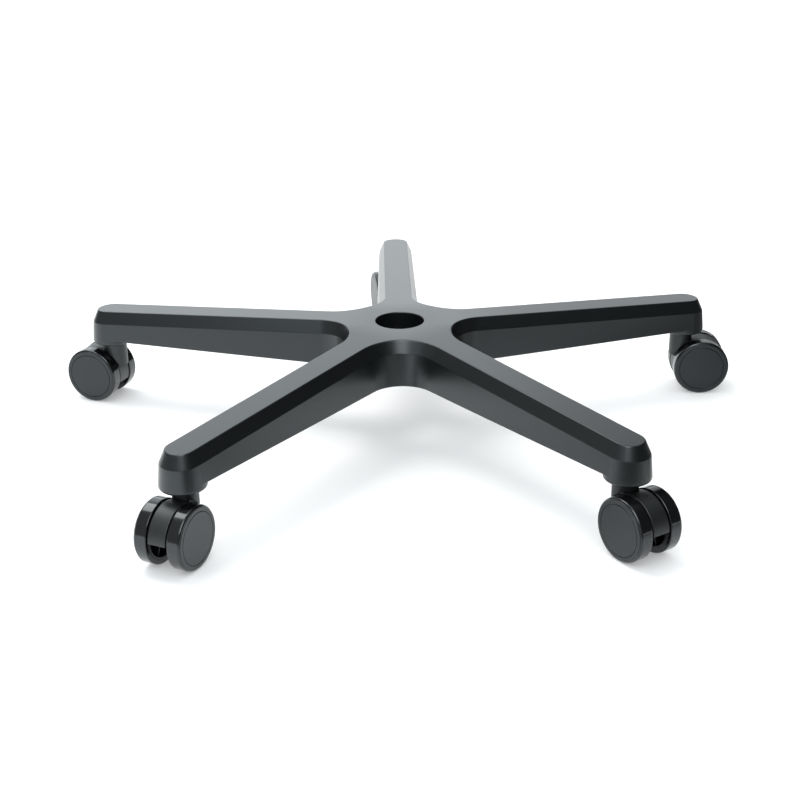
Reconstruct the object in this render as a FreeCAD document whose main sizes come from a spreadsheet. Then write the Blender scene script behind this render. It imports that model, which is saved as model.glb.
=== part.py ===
import FreeCAD, Part
import math
import os
import re
import Sketcher
from FreeCAD import Placement, Rotation, Vector

# Driving sizes in millimetres and degrees. Heights on the star base count down from its flat hub top.
# Heights on a castor count up from the floor, and lengths along an axle count out from the castor's middle.
SIZES = {
    # The star base as a whole
    "stem_circle": 330.0,
    "arm_count": 5,
    "arm_slope": 3.23,
    "hub_flat": 44.0,
    # Outlines of the arm at its flat crest, at the crease under the bevel and at the foot of the wall
    "crest_half": 14.15,
    "crest_taper": 0.0,
    "crest_pocket": 56.5,
    "crease_half": 19.9,
    "crease_taper": 0.22,
    "crease_pocket": 62.2,
    "foot_half": 21.5,
    "foot_taper": 0.72,
    "foot_pocket": 65.0,
    "tip_ahead": 2.0,
    "bevel_height": 12.6,
    "arm_foot": 47.2,
    "crest_round": 1.2,
    # The casting's underside
    "wall": 3.5,
    "crest_plate": 4.5,
    "channel_gap": 25.0,
    "keel_rib": 3.0,
    "keel_lift": 6.2,
    "spoke_rib": 4.0,
    # The hub and the taper that takes the gas lift
    "hub_tube": 33.0,
    "hub_drop": 5.8,
    "bore_mouth": 25.0,
    "bore_land": 22.0,
    "bore_foot": 24.2,
    # The boss at each tip
    "boss_half": 21.8,
    "boss_drop": 6.5,
    "boss_round": 3.0,
    "boss_ease": 0.9,
    "boss_core": 17.0,
    "core_roof": 31.0,
    "socket_tube": 10.0,
    "socket_half": 5.6,
    "socket_depth": 25.0,
    # Castor stem, its grip ring and its clip
    "stem_half": 5.5,
    "stem_gap": 1.5,
    "stem_tip": 1.2,
    "flange_half": 8.5,
    "flange_thick": 2.0,
    "flange_room": 0.6,
    "ring_rise": 12.0,
    "ring_height": 7.0,
    "ring_bed": 4.7,
    "ring_slit": 2.0,
    "pivot_half": 5.0,
    "pivot_length": 23.3,
    "clip_rise": 2.0,
    "clip_thick": 1.2,
    "clip_bed": 4.2,
    "clip_half": 6.8,
    "clip_mouth": 7.0,
    "running_gap": 0.06,
    "end_gap": 0.15,
    # Castor housing
    "seat_rise": 7.3,
    "trail_lead": 9.0,
    "hood_half": 9.0,
    "hood_sink": 0.7,
    "hood_wall": 2.8,
    "hood_front": 3.5,
    "hood_back": 200.0,
    "neck_half": 12.1,
    "neck_gap": 0.8,
    "neck_length": 26.5,
    "wheel_room": 1.2,
    "web": 5.0,
    "web_sink": 7.5,
    "axle_boss": 7.5,
    "boss_gap": 0.3,
    # Axle
    "axle_half": 3.0,
    "axle_reach": 20.4,
    "axle_lead": 0.6,
    "snap_bed": 2.5,
    "snap_width": 1.4,
    "snap_reach": 17.5,
    # Twin wheels
    "wheel_half": 30.0,
    "wheel_inner": 10.6,
    "tread_outer": 23.2,
    "tread_depth": 3.5,
    "tread_edge": 1.1,
    "hub_inner": 9.6,
    "hub_half": 6.5,
    "rim_depth": 6.6,
    "face_outer": 24.0,
    "face_sink": 1.5,
    "face_edge": 0.5,
    "disc_outer": 22.8,
    "disc_inner": 20.8,
    "cap_sink": 5.9,
    "cap_gap": 0.25,
    "cap_edge": 0.5,
    "spoke_thick": 1.6,
    "spoke_inner": 14.0,
    "spoke_count": 5,
}

# Where each castor's stem stands round the hub and which way its wheels trail, in degrees
CASTORS = {
    "back": (90.0, 100.0),
    "left": (162.0, 157.8),
    "front_left": (234.0, 244.0),
    "front_right": (306.0, 301.6),
    "right": (18.0, 358.6),
}

doc = FreeCAD.newDocument("five_star_base")
sheet = doc.addObject("Spreadsheet::Sheet", "Sizes")
names = []


def fill_sheet():
    """Write every driving size in the sheet under its own name."""
    rows = dict(SIZES)
    for castor, (stand, trailing) in CASTORS.items():
        rows["stand_" + castor] = stand
        rows["trail_" + castor] = trailing
    for row, (name, value) in enumerate(rows.items(), start=1):
        sheet.set("A%d" % row, name)
        sheet.set("B%d" % row, str(value))
        sheet.setAlias("B%d" % row, name)
        names.append(name)
    doc.recompute()


def bound(text):
    """Turn a rule in the sheet's names, such as 'wheel_half - 2', into an expression on the sheet."""
    return re.sub(r"[a-z_]+", lambda word: "<<Sizes>>." + word[0] if word[0] in names else word[0], text)


def worth(text):
    """The value that a rule in the sheet's names has now."""
    value = sheet.evalExpression(bound(text))
    return float(getattr(value, "Value", value))


def new_body(name):
    """A body for one sub-part."""
    body = doc.addObject("PartDesign::Body", name)
    body.Label = name
    return body


def new_sketch(body, name, plane, x="0", y="0", z="0", turn=None):
    """A sketch on one of the body's origin planes, shifted in that plane's frame and turned about an axis."""
    sketch = body.newObject("Sketcher::SketchObject", name)
    support = [item for item in body.Origin.OriginFeatures if item.Role == plane][0]
    sketch.AttachmentSupport = [(support, "")]
    sketch.MapMode = "FlatFace"
    if turn:
        axis, angle = turn
        sketch.AttachmentOffset = Placement(Vector(), Rotation(axis, max(worth(angle), 0.01)))
        sketch.setExpression("AttachmentOffset.Rotation.Angle", bound(angle))
    for way, text in (("x", x), ("y", y), ("z", z)):
        if text != "0":
            sketch.setExpression("AttachmentOffset.Base." + way, bound(text))
    doc.recompute()
    return sketch


def pin(sketch, constraint, text=None):
    """Add a constraint, and bind its size to the sheet where it has one."""
    index = sketch.addConstraint(constraint)
    if text is not None:
        sketch.setExpression("Constraints[%d]" % index, bound(text))


def pin_point(sketch, line, end, x, y):
    """Hold one end of a line at the rules x and y."""
    for kind, text in (("DistanceX", x), ("DistanceY", y)):
        value = worth(text)
        pin(sketch, Sketcher.Constraint(kind, -1, 1, line, end, value), text)


def draw_polygon(sketch, corners):
    """A closed outline of straight edges. Each corner is a pair of rules in the sheet's names."""
    spots = [Vector(worth(x), worth(y), 0) for x, y in corners]
    first = sketch.GeometryCount
    count = len(corners)
    for i in range(count):
        sketch.addGeometry(Part.LineSegment(spots[i], spots[(i + 1) % count]), False)
    for i in range(count):
        follower = first + (i + 1) % count
        pin(sketch, Sketcher.Constraint("Coincident", first + i, 2, follower, 1))
        pin_point(sketch, first + i, 1, *corners[i])


def draw_circle(sketch, radius, x="0", y="0"):
    """A circle of a bound radius about a bound point."""
    centre = Vector(worth(x), worth(y), 0)
    circle = sketch.addGeometry(Part.Circle(centre, Vector(0, 0, 1), worth(radius)), False)
    pin(sketch, Sketcher.Constraint("Radius", circle, worth(radius)), radius)
    pin_point(sketch, circle, 3, x, y)


def finish_feature(body, feature, **settings):
    """Set a feature up, make it the body's tip and recompute it."""
    for name, value in settings.items():
        if isinstance(value, tuple) and value[0] == "rule":
            feature.setExpression(name, bound(value[1]))
        else:
            setattr(feature, name, value)
    body.Tip = feature
    doc.recompute()
    return feature


def rule(text):
    """Mark a feature's setting as a rule in the sheet's names."""
    return ("rule", text)


def pad(body, name, sketch, length, **settings):
    feature = body.newObject("PartDesign::Pad", name)
    return finish_feature(body, feature, Profile=sketch, Length=rule(length), **settings)


def pocket(body, name, sketch, length, **settings):
    feature = body.newObject("PartDesign::Pocket", name)
    return finish_feature(body, feature, Profile=sketch, Length=rule(length), **settings)


def turned(body, name, sketch, kind="Revolution"):
    """A full turn of a sketch about its own upright axis."""
    feature = body.newObject("PartDesign::" + kind, name)
    return finish_feature(body, feature, Profile=sketch, ReferenceAxis=(sketch, ["V_Axis"]), Angle=360.0)


def polar(body, name, originals, axis, count, **settings):
    """Repeat features, or the whole shape, evenly round an axis."""
    feature = body.newObject("PartDesign::PolarPattern", name)
    return finish_feature(
        body, feature, Originals=originals, Axis=axis, Angle=360.0, Occurrences=rule(count), **settings
    )


# Star base: one aluminium casting with five arms


RAY = "(180 / arm_count)"
TILTED_RAY = "atan(cos(arm_slope) * tan(180 / arm_count))"
CREST_RISE = "tan(arm_slope) * hub_flat"
KEEL_FOOT = "(arm_foot - keel_lift)"
HUB_FOOT = "(arm_foot + hub_drop)"
BOSS_FOOT = "(arm_foot + boss_drop)"


def arm_outline(body, name, half, taper, apex, reach, height, tilted):
    """One arm's share of the star at one level: two rays from the hub's axis, half a pocket on each side,
    the arm's two edges and its round end. A tilted level lies in a plane that falls along the arm."""
    turn = (Vector(0, 1, 0), "arm_slope") if tilted else None
    sketch = new_sketch(body, name, "XY_Plane", z=height, turn=turn)
    ray_rule = TILTED_RAY if tilted else RAY
    if tilted:
        reach = "(" + reach + ") / cos(arm_slope)"
    ray = math.radians(worth(ray_rule))
    lean = math.radians(worth(taper))
    radius = worth(half)
    near = worth(apex)
    far = worth(reach)
    offset = far * math.sin(lean) + radius
    middle = (near - offset) / (1 - math.sin(ray + lean))
    round_radius = middle - near
    side = Vector(math.sin(lean), math.cos(lean), 0)
    centre = Vector(middle * math.cos(ray), middle * math.sin(ray), 0)
    touch = centre - side * round_radius
    end = Vector(far, 0, 0) + side * radius
    peak = Vector(near * math.cos(ray), near * math.sin(ray), 0)
    origin = Vector(0, 0, 0)
    up = Vector(0, 0, 1)

    def mirror(point):
        return Vector(point.x, -point.y, 0)

    quarter = math.pi / 2
    lower_circle = Part.Circle(mirror(centre), up, round_radius)
    upper_circle = Part.Circle(centre, up, round_radius)
    tip_circle = Part.Circle(Vector(far, 0, 0), up, radius)
    lower_pocket = Part.ArcOfCircle(lower_circle, quarter + lean, math.pi - ray)
    upper_pocket = Part.ArcOfCircle(upper_circle, math.pi + ray, 3 * quarter - lean)
    tip_round = Part.ArcOfCircle(tip_circle, lean - quarter, quarter - lean)
    low_ray = sketch.addGeometry(Part.LineSegment(origin, mirror(peak)), False)
    low_round = sketch.addGeometry(lower_pocket, False)
    low_side = sketch.addGeometry(Part.LineSegment(mirror(touch), mirror(end)), False)
    tip = sketch.addGeometry(tip_round, False)
    high_side = sketch.addGeometry(Part.LineSegment(touch, end), False)
    high_round = sketch.addGeometry(upper_pocket, False)
    high_ray = sketch.addGeometry(Part.LineSegment(origin, peak), False)

    pin(sketch, Sketcher.Constraint("Coincident", low_ray, 1, -1, 1))
    pin(sketch, Sketcher.Constraint("Coincident", high_ray, 1, -1, 1))
    pin(sketch, Sketcher.Constraint("Coincident", low_ray, 2, low_round, 2))
    pin(sketch, Sketcher.Constraint("Coincident", high_ray, 2, high_round, 1))
    pin(sketch, Sketcher.Constraint("Tangent", low_round, 1, low_side, 1))
    pin(sketch, Sketcher.Constraint("Tangent", low_side, 2, tip, 1))
    pin(sketch, Sketcher.Constraint("Tangent", tip, 2, high_side, 2))
    pin(sketch, Sketcher.Constraint("Tangent", high_side, 1, high_round, 2))
    pin(sketch, Sketcher.Constraint("PointOnObject", tip, 3, -1))
    pin(sketch, Sketcher.Constraint("PointOnObject", low_round, 3, low_ray))
    pin(sketch, Sketcher.Constraint("PointOnObject", high_round, 3, high_ray))
    pin(sketch, Sketcher.Constraint("Equal", low_ray, high_ray))
    pin(sketch, Sketcher.Constraint("Angle", low_ray, -ray), "-" + ray_rule)
    pin(sketch, Sketcher.Constraint("Angle", high_ray, ray), ray_rule)
    pin(sketch, Sketcher.Constraint("Angle", low_side, lean), taper)
    pin(sketch, Sketcher.Constraint("Angle", high_side, -lean), "-" + taper)
    pin(sketch, Sketcher.Constraint("Distance", high_ray, near), apex)
    pin(sketch, Sketcher.Constraint("DistanceX", -1, 1, tip, 3, far), reach)
    pin(sketch, Sketcher.Constraint("Radius", tip, radius), half)
    doc.recompute()
    return sketch


def crest_edges(shape):
    """Names of the edges round the flat crest of the arm, where it meets the bevel."""
    slope = math.radians(worth("arm_slope"))
    rise = worth(CREST_RISE)
    found = []
    for index, edge in enumerate(shape.Edges, start=1):
        first = edge.FirstParameter
        last = edge.LastParameter
        spots = [edge.valueAt(first), edge.valueAt((first + last) / 2), edge.valueAt(last)]
        on_plane = all(abs(rise - spot.x * math.tan(slope) - spot.z) < 0.02 for spot in spots)
        clear_of_hub = min(math.hypot(spot.x, spot.y) for spot in spots) > worth("crest_pocket") - 1
        if on_plane and clear_of_hub:
            found.append("Edge%d" % index)
    return found


def make_star_base():
    body = new_body("star_base")
    body.Placement = Placement(Vector(), Rotation(Vector(0, 0, 1), 10.0))
    body.setExpression("Placement.Rotation.Angle", bound("stand_back"))
    reach = "stem_circle + tip_ahead"
    crease_height = CREST_RISE + " - bevel_height"

    # Outside of one arm: crest, sloping bevel and drafted wall
    crest = arm_outline(
        body, "crest_outline", "crest_half", "crest_taper", "crest_pocket", reach, CREST_RISE, True
    )
    crease = arm_outline(
        body, "crease_outline", "crease_half", "crease_taper", "crease_pocket", reach, crease_height, True
    )
    foot = arm_outline(
        body, "foot_outline", "foot_half", "foot_taper", "foot_pocket", reach, "0 - arm_foot", False
    )
    outside = body.newObject("PartDesign::AdditiveLoft", "arm_outside")
    finish_feature(body, outside, Profile=foot, Sections=[crease, crest], Ruled=True)

    # The crest planes would meet in a low peak over the hub, which is faced off flat
    facing = new_sketch(body, "hub_facing", "XY_Plane")
    draw_circle(facing, "crest_pocket + wall")
    pocket(body, "hub_face", facing, "crest_plate + bevel_height", Reversed=True)

    rounding = body.newObject("PartDesign::Fillet", "crest_rounding")
    edges = crest_edges(rounding.BaseFeature.Shape)
    finish_feature(body, rounding, Base=(rounding.BaseFeature, edges), Radius=rule("crest_round"))

    # Channel under the arm, one wall inside the outlines and one plate under the crest
    channel_reach = "stem_circle - channel_gap - foot_half + wall"
    inner_crest = arm_outline(
        body, "channel_crest", "crest_half - wall / 2", "crest_taper", "crest_pocket - wall / 2",
        channel_reach, CREST_RISE + " - crest_plate", True,
    )
    inner_crease = arm_outline(
        body, "channel_crease", "crease_half - wall", "crease_taper", "crease_pocket - wall",
        channel_reach, crease_height, True,
    )
    inner_foot = arm_outline(
        body, "channel_foot", "foot_half - wall", "foot_taper", "foot_pocket - wall",
        channel_reach, "0 - arm_foot", False,
    )
    channel = body.newObject("PartDesign::SubtractiveLoft", "arm_channel")
    finish_feature(body, channel, Profile=inner_foot, Sections=[inner_crease, inner_crest], Ruled=True)

    # Keel rib down the middle of the channel, sunk half a plate into the crest plate above it
    keel = new_sketch(body, "keel_outline", "XZ_Plane")
    keel_start = "hub_tube - wall"
    keel_end = "stem_circle - socket_tube"
    draw_polygon(keel, [
        (keel_start, "-" + KEEL_FOOT),
        (keel_end, "-" + KEEL_FOOT),
        (keel_end, "(hub_flat - stem_circle + socket_tube) * tan(arm_slope) - crest_plate / 2"),
        (keel_start, "(hub_flat - hub_tube + wall) * tan(arm_slope) - crest_plate"),
    ])
    pad(body, "keel_rib", keel, "keel_rib", SideType="Symmetric")

    # Boss round the castor's socket, which carries the tip's wall on down to a rounded foot
    boss = new_sketch(body, "boss_section", "XZ_Plane", x=reach)
    draw_polygon(boss, [
        ("0", "-" + BOSS_FOOT),
        ("boss_half - boss_round", "-" + BOSS_FOOT),
        ("boss_half - boss_ease", "boss_ease - " + BOSS_FOOT),
        ("boss_half", "boss_round - " + BOSS_FOOT),
        ("foot_half", "-arm_foot"),
        ("foot_half - wall / 2", "wall / 2 - arm_foot"),
        ("0", "wall / 2 - arm_foot"),
    ])
    turned(body, "tip_boss", boss)

    # Cored ring inside the boss, crossed by two ribs that hold the socket tube
    core = new_sketch(body, "boss_core_ring", "XY_Plane", x="stem_circle", z="-" + BOSS_FOOT)
    draw_circle(core, "boss_core")
    draw_circle(core, "socket_tube")
    core_depth = BOSS_FOOT + " - core_roof"
    pocket(body, "boss_coring", core, core_depth, Reversed=True)
    length = "(boss_core + wall / 4)"
    half = "(keel_rib / 2)"
    for name, along, across in (("long_rib", length, half), ("cross_rib", half, length)):
        level = "wall / 2 - " + BOSS_FOOT
        rib = new_sketch(body, name + "_outline", "XY_Plane", x="stem_circle", z=level)
        low = "-" + across
        draw_polygon(rib, [("-" + along, low), (along, low), (along, across), ("-" + along, across)])
        pad(body, name, rib, core_depth)

    # Blind socket for the castor's stem
    socket = new_sketch(body, "socket_mouth", "XY_Plane", x="stem_circle", z="-" + BOSS_FOOT)
    draw_circle(socket, "socket_half")
    pocket(body, "castor_socket", socket, "socket_depth", Reversed=True)

    # The finished arm, repeated round the hub's axis
    upright = [item for item in body.Origin.OriginFeatures if item.Role == "Z_Axis"][0]
    polar(body, "five_arms", [], (upright, [""]), "arm_count", TransformMode="Whole shape")

    # Hub tube under the flat top, with a spoke rib out to each pocket between two arms
    tube = new_sketch(body, "hub_tube_outline", "XY_Plane", z="-" + HUB_FOOT)
    draw_circle(tube, "hub_tube")
    pad(body, "hub_tube", tube, HUB_FOOT + " - crest_plate / 2")
    turn = (Vector(0, 0, 1), RAY)
    spoke = new_sketch(body, "spoke_rib_outline", "XY_Plane", z="-wall - " + KEEL_FOOT, turn=turn)
    draw_polygon(spoke, [
        ("hub_tube - wall", "-spoke_rib / 2"),
        ("crest_pocket", "-spoke_rib / 2"),
        ("crest_pocket", "spoke_rib / 2"),
        ("hub_tube - wall", "spoke_rib / 2"),
    ])
    rib = pad(body, "spoke_rib", spoke, KEEL_FOOT + " + wall - crest_plate")
    polar(body, "spoke_ribs", [rib], (upright, [""]), "arm_count")

    # Bore for the gas lift: a straight land and a slow taper to the foot
    bore = new_sketch(body, "bore_section", "XZ_Plane")
    draw_polygon(bore, [
        ("0", "wall"),
        ("bore_mouth", "wall"),
        ("bore_mouth", "-bore_land"),
        ("bore_foot", "-" + HUB_FOOT),
        ("bore_foot", "-wall - " + HUB_FOOT),
        ("0", "-wall - " + HUB_FOOT),
    ])
    turned(body, "gas_lift_bore", bore, "Groove")
    return body


# Castors: a steel stem, a moulded housing on it, an axle across the housing and a wheel on each end


SEAT = "(2 * wheel_half + seat_rise)"
RING_FOOT = "(2 * wheel_half + seat_rise + ring_rise)"
PIVOT_FOOT = "(2 * wheel_half + seat_rise - pivot_length)"
CLIP_FOOT = "(2 * wheel_half + seat_rise - pivot_length + clip_rise)"
CLIP_TOP = "(2 * wheel_half + seat_rise - pivot_length + clip_rise + clip_thick)"
NECK_FOOT = "(2 * wheel_half + seat_rise - neck_gap - neck_length)"
TRAIL = "(wheel_half - trail_lead)"
HOOD_OUTER = "(wheel_half - hood_sink)"
HOOD_INNER = "(wheel_half - hood_sink - hood_wall)"
TREAD_SEAT = "(wheel_half - tread_depth)"
RIM_INNER = "(wheel_half - rim_depth)"
FACE_RIM = "(wheel_half - face_sink)"
CAP_HALF = "(wheel_half - cap_sink)"


def new_castor_part(castor, piece):
    """A body for one piece of one castor: stem axis on the stem circle, floor under the wheels,
    and the length of the castor along its own trailing direction."""
    body = new_body(castor + "_" + piece)
    stand = "stand_" + castor
    trailing = "trail_" + castor
    body.Placement = Placement(Vector(), Rotation(Vector(0, 0, 1), 10.0))
    body.setExpression("Placement.Base.x", bound("stem_circle * cos(%s)" % stand))
    body.setExpression("Placement.Base.y", bound("stem_circle * sin(%s)" % stand))
    body.setExpression("Placement.Base.z", bound("-" + BOSS_FOOT + " - " + SEAT))
    body.setExpression("Placement.Rotation.Angle", bound(trailing))
    return body


def make_stem(castor):
    """Steel stem: a pivot below its flange for the housing, and a grooved shank above it for the socket."""
    body = new_castor_part(castor, "stem")
    section = new_sketch(body, "stem_section", "XZ_Plane")
    shank_top = SEAT + " + socket_depth - stem_gap"
    draw_polygon(section, [
        ("0", PIVOT_FOOT),
        ("pivot_half", PIVOT_FOOT),
        ("pivot_half", CLIP_FOOT),
        ("clip_bed", CLIP_FOOT),
        ("clip_bed", CLIP_TOP),
        ("pivot_half", CLIP_TOP),
        ("pivot_half", SEAT + " - flange_thick"),
        ("flange_half", SEAT + " - flange_thick"),
        ("flange_half", SEAT),
        ("stem_half", SEAT),
        ("stem_half", RING_FOOT),
        ("ring_bed", RING_FOOT),
        ("ring_bed", RING_FOOT + " + ring_height"),
        ("stem_half", RING_FOOT + " + ring_height"),
        ("stem_half", shank_top + " - stem_tip"),
        ("stem_half - stem_tip", shank_top),
        ("0", shank_top),
    ])
    turned(body, "stem_turning", section)


def make_split_ring(castor, piece, bed, outer, foot, height, slit):
    """A split steel ring in a groove of the stem, with its slit towards the trailing side."""
    body = new_castor_part(castor, piece)
    section = new_sketch(body, "ring_section", "XZ_Plane")
    top = foot + " + " + height
    draw_polygon(section, [(bed, foot), (outer, foot), (outer, top), (bed, top)])
    turned(body, "ring_turning", section)
    mouth = new_sketch(body, "slit_outline", "XY_Plane", z=foot)
    half = slit + " / 2"
    past = "2 * " + outer
    draw_polygon(mouth, [("0", "-" + half), (past, "-" + half), (past, half), ("0", half)])
    pocket(body, "slit", mouth, height, Reversed=True)


def hood_outline(body):
    """Side view of the hood: a band round the axle from its front lip over the top to its back skirt."""
    sketch = new_sketch(body, "hood_outline", "XZ_Plane", x=TRAIL, y="wheel_half")
    outer = worth(HOOD_OUTER)
    inner = worth(HOOD_INNER)
    front = math.radians(worth("hood_front"))
    back = math.radians(worth("hood_back"))
    up = Vector(0, 0, 1)

    def spot(radius, angle):
        return Vector(radius * math.cos(angle), radius * math.sin(angle), 0)

    outside = sketch.addGeometry(Part.ArcOfCircle(Part.Circle(Vector(), up, outer), front, back), False)
    inside = sketch.addGeometry(Part.ArcOfCircle(Part.Circle(Vector(), up, inner), front, back), False)
    lip = sketch.addGeometry(Part.LineSegment(spot(inner, front), spot(outer, front)), False)
    skirt = sketch.addGeometry(Part.LineSegment(spot(inner, back), spot(outer, back)), False)
    for arc, radius in ((outside, HOOD_OUTER), (inside, HOOD_INNER)):
        pin(sketch, Sketcher.Constraint("Coincident", arc, 3, -1, 1))
        pin(sketch, Sketcher.Constraint("Radius", arc, worth(radius)), radius)
    for line, end in ((lip, 1), (skirt, 2)):
        pin(sketch, Sketcher.Constraint("Coincident", line, 1, inside, end))
        pin(sketch, Sketcher.Constraint("Coincident", line, 2, outside, end))
        pin(sketch, Sketcher.Constraint("PointOnObject", -1, 1, line))
    pin(sketch, Sketcher.Constraint("Angle", lip, front), "hood_front")
    pin(sketch, Sketcher.Constraint("Angle", skirt, back), "hood_back")
    doc.recompute()
    return sketch


def make_housing(castor):
    """Moulded housing: a hood between the wheels, the neck that turns on the stem, and the web and boss
    that hold the axle. The neck is scooped out over each wheel."""
    body = new_castor_part(castor, "housing")
    pad(body, "hood", hood_outline(body), "2 * hood_half", SideType="Symmetric")

    neck = new_sketch(body, "neck_outline", "XY_Plane", z=NECK_FOOT)
    draw_circle(neck, "neck_half")
    pad(body, "neck", neck, "neck_length")
    for side, outward in (("left", -1), ("right", 1)):
        depth = "hood_half" if outward > 0 else "-hood_half"
        scoop = new_sketch(body, side + "_scoop_outline", "XZ_Plane", x=TRAIL, y="wheel_half", z=depth)
        draw_circle(scoop, "wheel_half + wheel_room")
        pocket(body, side + "_scoop", scoop, "neck_half", Reversed=outward > 0)

    web = new_sketch(body, "web_outline", "XZ_Plane")
    draw_polygon(web, [
        ("neck_half - web", NECK_FOOT),
        (TRAIL + " - axle_boss / 2", "wheel_half - axle_boss / 2"),
        (TRAIL + " + axle_boss / 2", "wheel_half"),
        (TRAIL + " + web / 2", "wheel_half + hood_wall / 2 + " + HOOD_INNER),
        ("neck_half - web", "2 * wheel_half - web_sink"),
    ])
    pad(body, "web", web, "web", SideType="Symmetric")
    boss = new_sketch(body, "axle_boss_outline", "XZ_Plane", x=TRAIL, y="wheel_half")
    draw_circle(boss, "axle_boss")
    pad(body, "axle_boss", boss, "2 * (hub_inner - boss_gap)", SideType="Symmetric")

    bore = new_sketch(body, "stem_bore_section", "XZ_Plane")
    draw_polygon(bore, [
        ("0", SEAT),
        ("flange_half + flange_room", SEAT),
        ("flange_half + flange_room", SEAT + " - flange_thick - end_gap"),
        ("pivot_half + running_gap", SEAT + " - flange_thick - end_gap"),
        ("pivot_half + running_gap", CLIP_TOP + " + end_gap"),
        ("clip_half + flange_room", CLIP_TOP + " + end_gap"),
        ("clip_half + flange_room", NECK_FOOT + " - wheel_room"),
        ("0", NECK_FOOT + " - wheel_room"),
    ])
    turned(body, "stem_bore", bore, "Groove")
    hole = new_sketch(body, "axle_hole_outline", "XZ_Plane", x=TRAIL, y="wheel_half")
    draw_circle(hole, "axle_half")
    pocket(body, "axle_hole", hole, "4 * hood_half", SideType="Symmetric")


def wheel_sketch(body, name, side="left"):
    """A half section through a wheel: radius from the axle across, distance from the castor's middle up."""
    turn = (Vector(1, 0, 0), "180") if side == "right" else None
    return new_sketch(body, name, "XY_Plane", x=TRAIL, z="wheel_half", turn=turn)


def make_axle(castor):
    """Steel axle pressed through the housing, with a groove near each end for a wheel to snap into."""
    body = new_castor_part(castor, "axle")
    half = [
        ("axle_half", "snap_reach"),
        ("snap_bed", "snap_reach"),
        ("snap_bed", "(snap_reach + snap_width)"),
        ("axle_half", "(snap_reach + snap_width)"),
        ("axle_half", "(axle_reach - axle_lead)"),
        ("axle_half - axle_lead", "axle_reach"),
        ("0", "axle_reach"),
    ]
    section = wheel_sketch(body, "axle_section")
    draw_polygon(section, half + [(radius, "-" + reach) for radius, reach in reversed(half)])
    turned(body, "axle_turning", section)


def make_wheel_core(castor, side):
    """Moulded wheel: a blind hub on the axle, a disc with a shallow seat for the cap, spokes behind it
    and a rim with an outer lip that the tread runs up to."""
    body = new_castor_part(castor, side + "_wheel_core")
    section = wheel_sketch(body, "core_section", side)
    draw_polygon(section, [
        ("axle_half + running_gap", "hub_inner"),
        ("axle_half + running_gap", "axle_reach + end_gap"),
        ("0", "axle_reach + end_gap"),
        ("0", "disc_outer"),
        (CAP_HALF + " + cap_gap", "disc_outer"),
        (CAP_HALF + " + cap_gap", "face_outer"),
        (FACE_RIM + " - face_edge", "face_outer"),
        (FACE_RIM, "face_outer - face_edge"),
        (FACE_RIM, "tread_outer"),
        (TREAD_SEAT, "tread_outer"),
        (TREAD_SEAT, "wheel_inner"),
        (RIM_INNER, "wheel_inner"),
        (RIM_INNER, "disc_inner"),
        ("hub_half", "disc_inner"),
        ("hub_half", "hub_inner"),
    ])
    turned(body, "core_turning", section)
    left = side == "left"
    depth = "-disc_inner" if left else "disc_inner"
    spoke = new_sketch(body, "spoke_outline", "XZ_Plane", x=TRAIL, y="wheel_half", z=depth)
    draw_polygon(spoke, [
        ("hub_half - spoke_thick / 4", "-spoke_thick / 2"),
        (RIM_INNER + " + spoke_thick / 4", "-spoke_thick / 2"),
        (RIM_INNER + " + spoke_thick / 4", "spoke_thick / 2"),
        ("hub_half - spoke_thick / 4", "spoke_thick / 2"),
    ])
    first = pad(body, "spoke", spoke, "disc_inner - spoke_inner", Reversed=not left)
    polar(body, "spokes", [first], (section, ["V_Axis"]), "spoke_count")


def make_tread(castor, side):
    """Soft tread moulded round the rim, with its two edges broken."""
    body = new_castor_part(castor, side + "_wheel_tread")
    section = wheel_sketch(body, "tread_section", side)
    draw_polygon(section, [
        (TREAD_SEAT, "wheel_inner"),
        ("wheel_half - tread_edge", "wheel_inner"),
        ("wheel_half", "wheel_inner + tread_edge"),
        ("wheel_half", "tread_outer - tread_edge"),
        ("wheel_half - tread_edge", "tread_outer"),
        (TREAD_SEAT, "tread_outer"),
    ])
    turned(body, "tread_turning", section)


def make_cap(castor, side):
    """Plain cap pressed into the seat of the wheel's face."""
    body = new_castor_part(castor, side + "_wheel_cap")
    section = wheel_sketch(body, "cap_section", side)
    draw_polygon(section, [
        ("0", "disc_outer"),
        (CAP_HALF, "disc_outer"),
        (CAP_HALF, "face_outer - cap_edge"),
        (CAP_HALF + " - cap_edge", "face_outer"),
        ("0", "face_outer"),
    ])
    turned(body, "cap_turning", section)


def make_castor(castor):
    make_stem(castor)
    make_split_ring(castor, "grip_ring", "ring_bed", "socket_half", RING_FOOT, "ring_height", "ring_slit")
    make_split_ring(castor, "stem_clip", "clip_bed", "clip_half", CLIP_FOOT, "clip_thick", "clip_mouth")
    make_housing(castor)
    make_axle(castor)
    for side in ("left", "right"):
        make_wheel_core(castor, side)
        make_tread(castor, side)
        make_cap(castor, side)


def check_document():
    """Stop if any object failed, or if a sub-part is not one sound solid."""
    for item in doc.Objects:
        if "Invalid" in item.State or "Error" in item.State:
            raise RuntimeError("%s failed: %s" % (item.Name, item.getStatusString()))
    for body in doc.findObjects("PartDesign::Body"):
        solid = body.Shape
        if solid.isNull() or not solid.isValid() or len(solid.Solids) != 1:
            raise RuntimeError("%s is not one sound solid" % body.Label)


def write_parts():
    os.makedirs("parts", exist_ok=True)
    for body in doc.findObjects("PartDesign::Body"):
        body.Shape.exportStep("parts/%s.step" % body.Label)


fill_sheet()
make_star_base()
for castor_name in CASTORS:
    make_castor(castor_name)
doc.recompute()
check_document()
write_parts()
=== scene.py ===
import math
import bmesh
import bpy
from mathutils import Matrix, Vector


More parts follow.
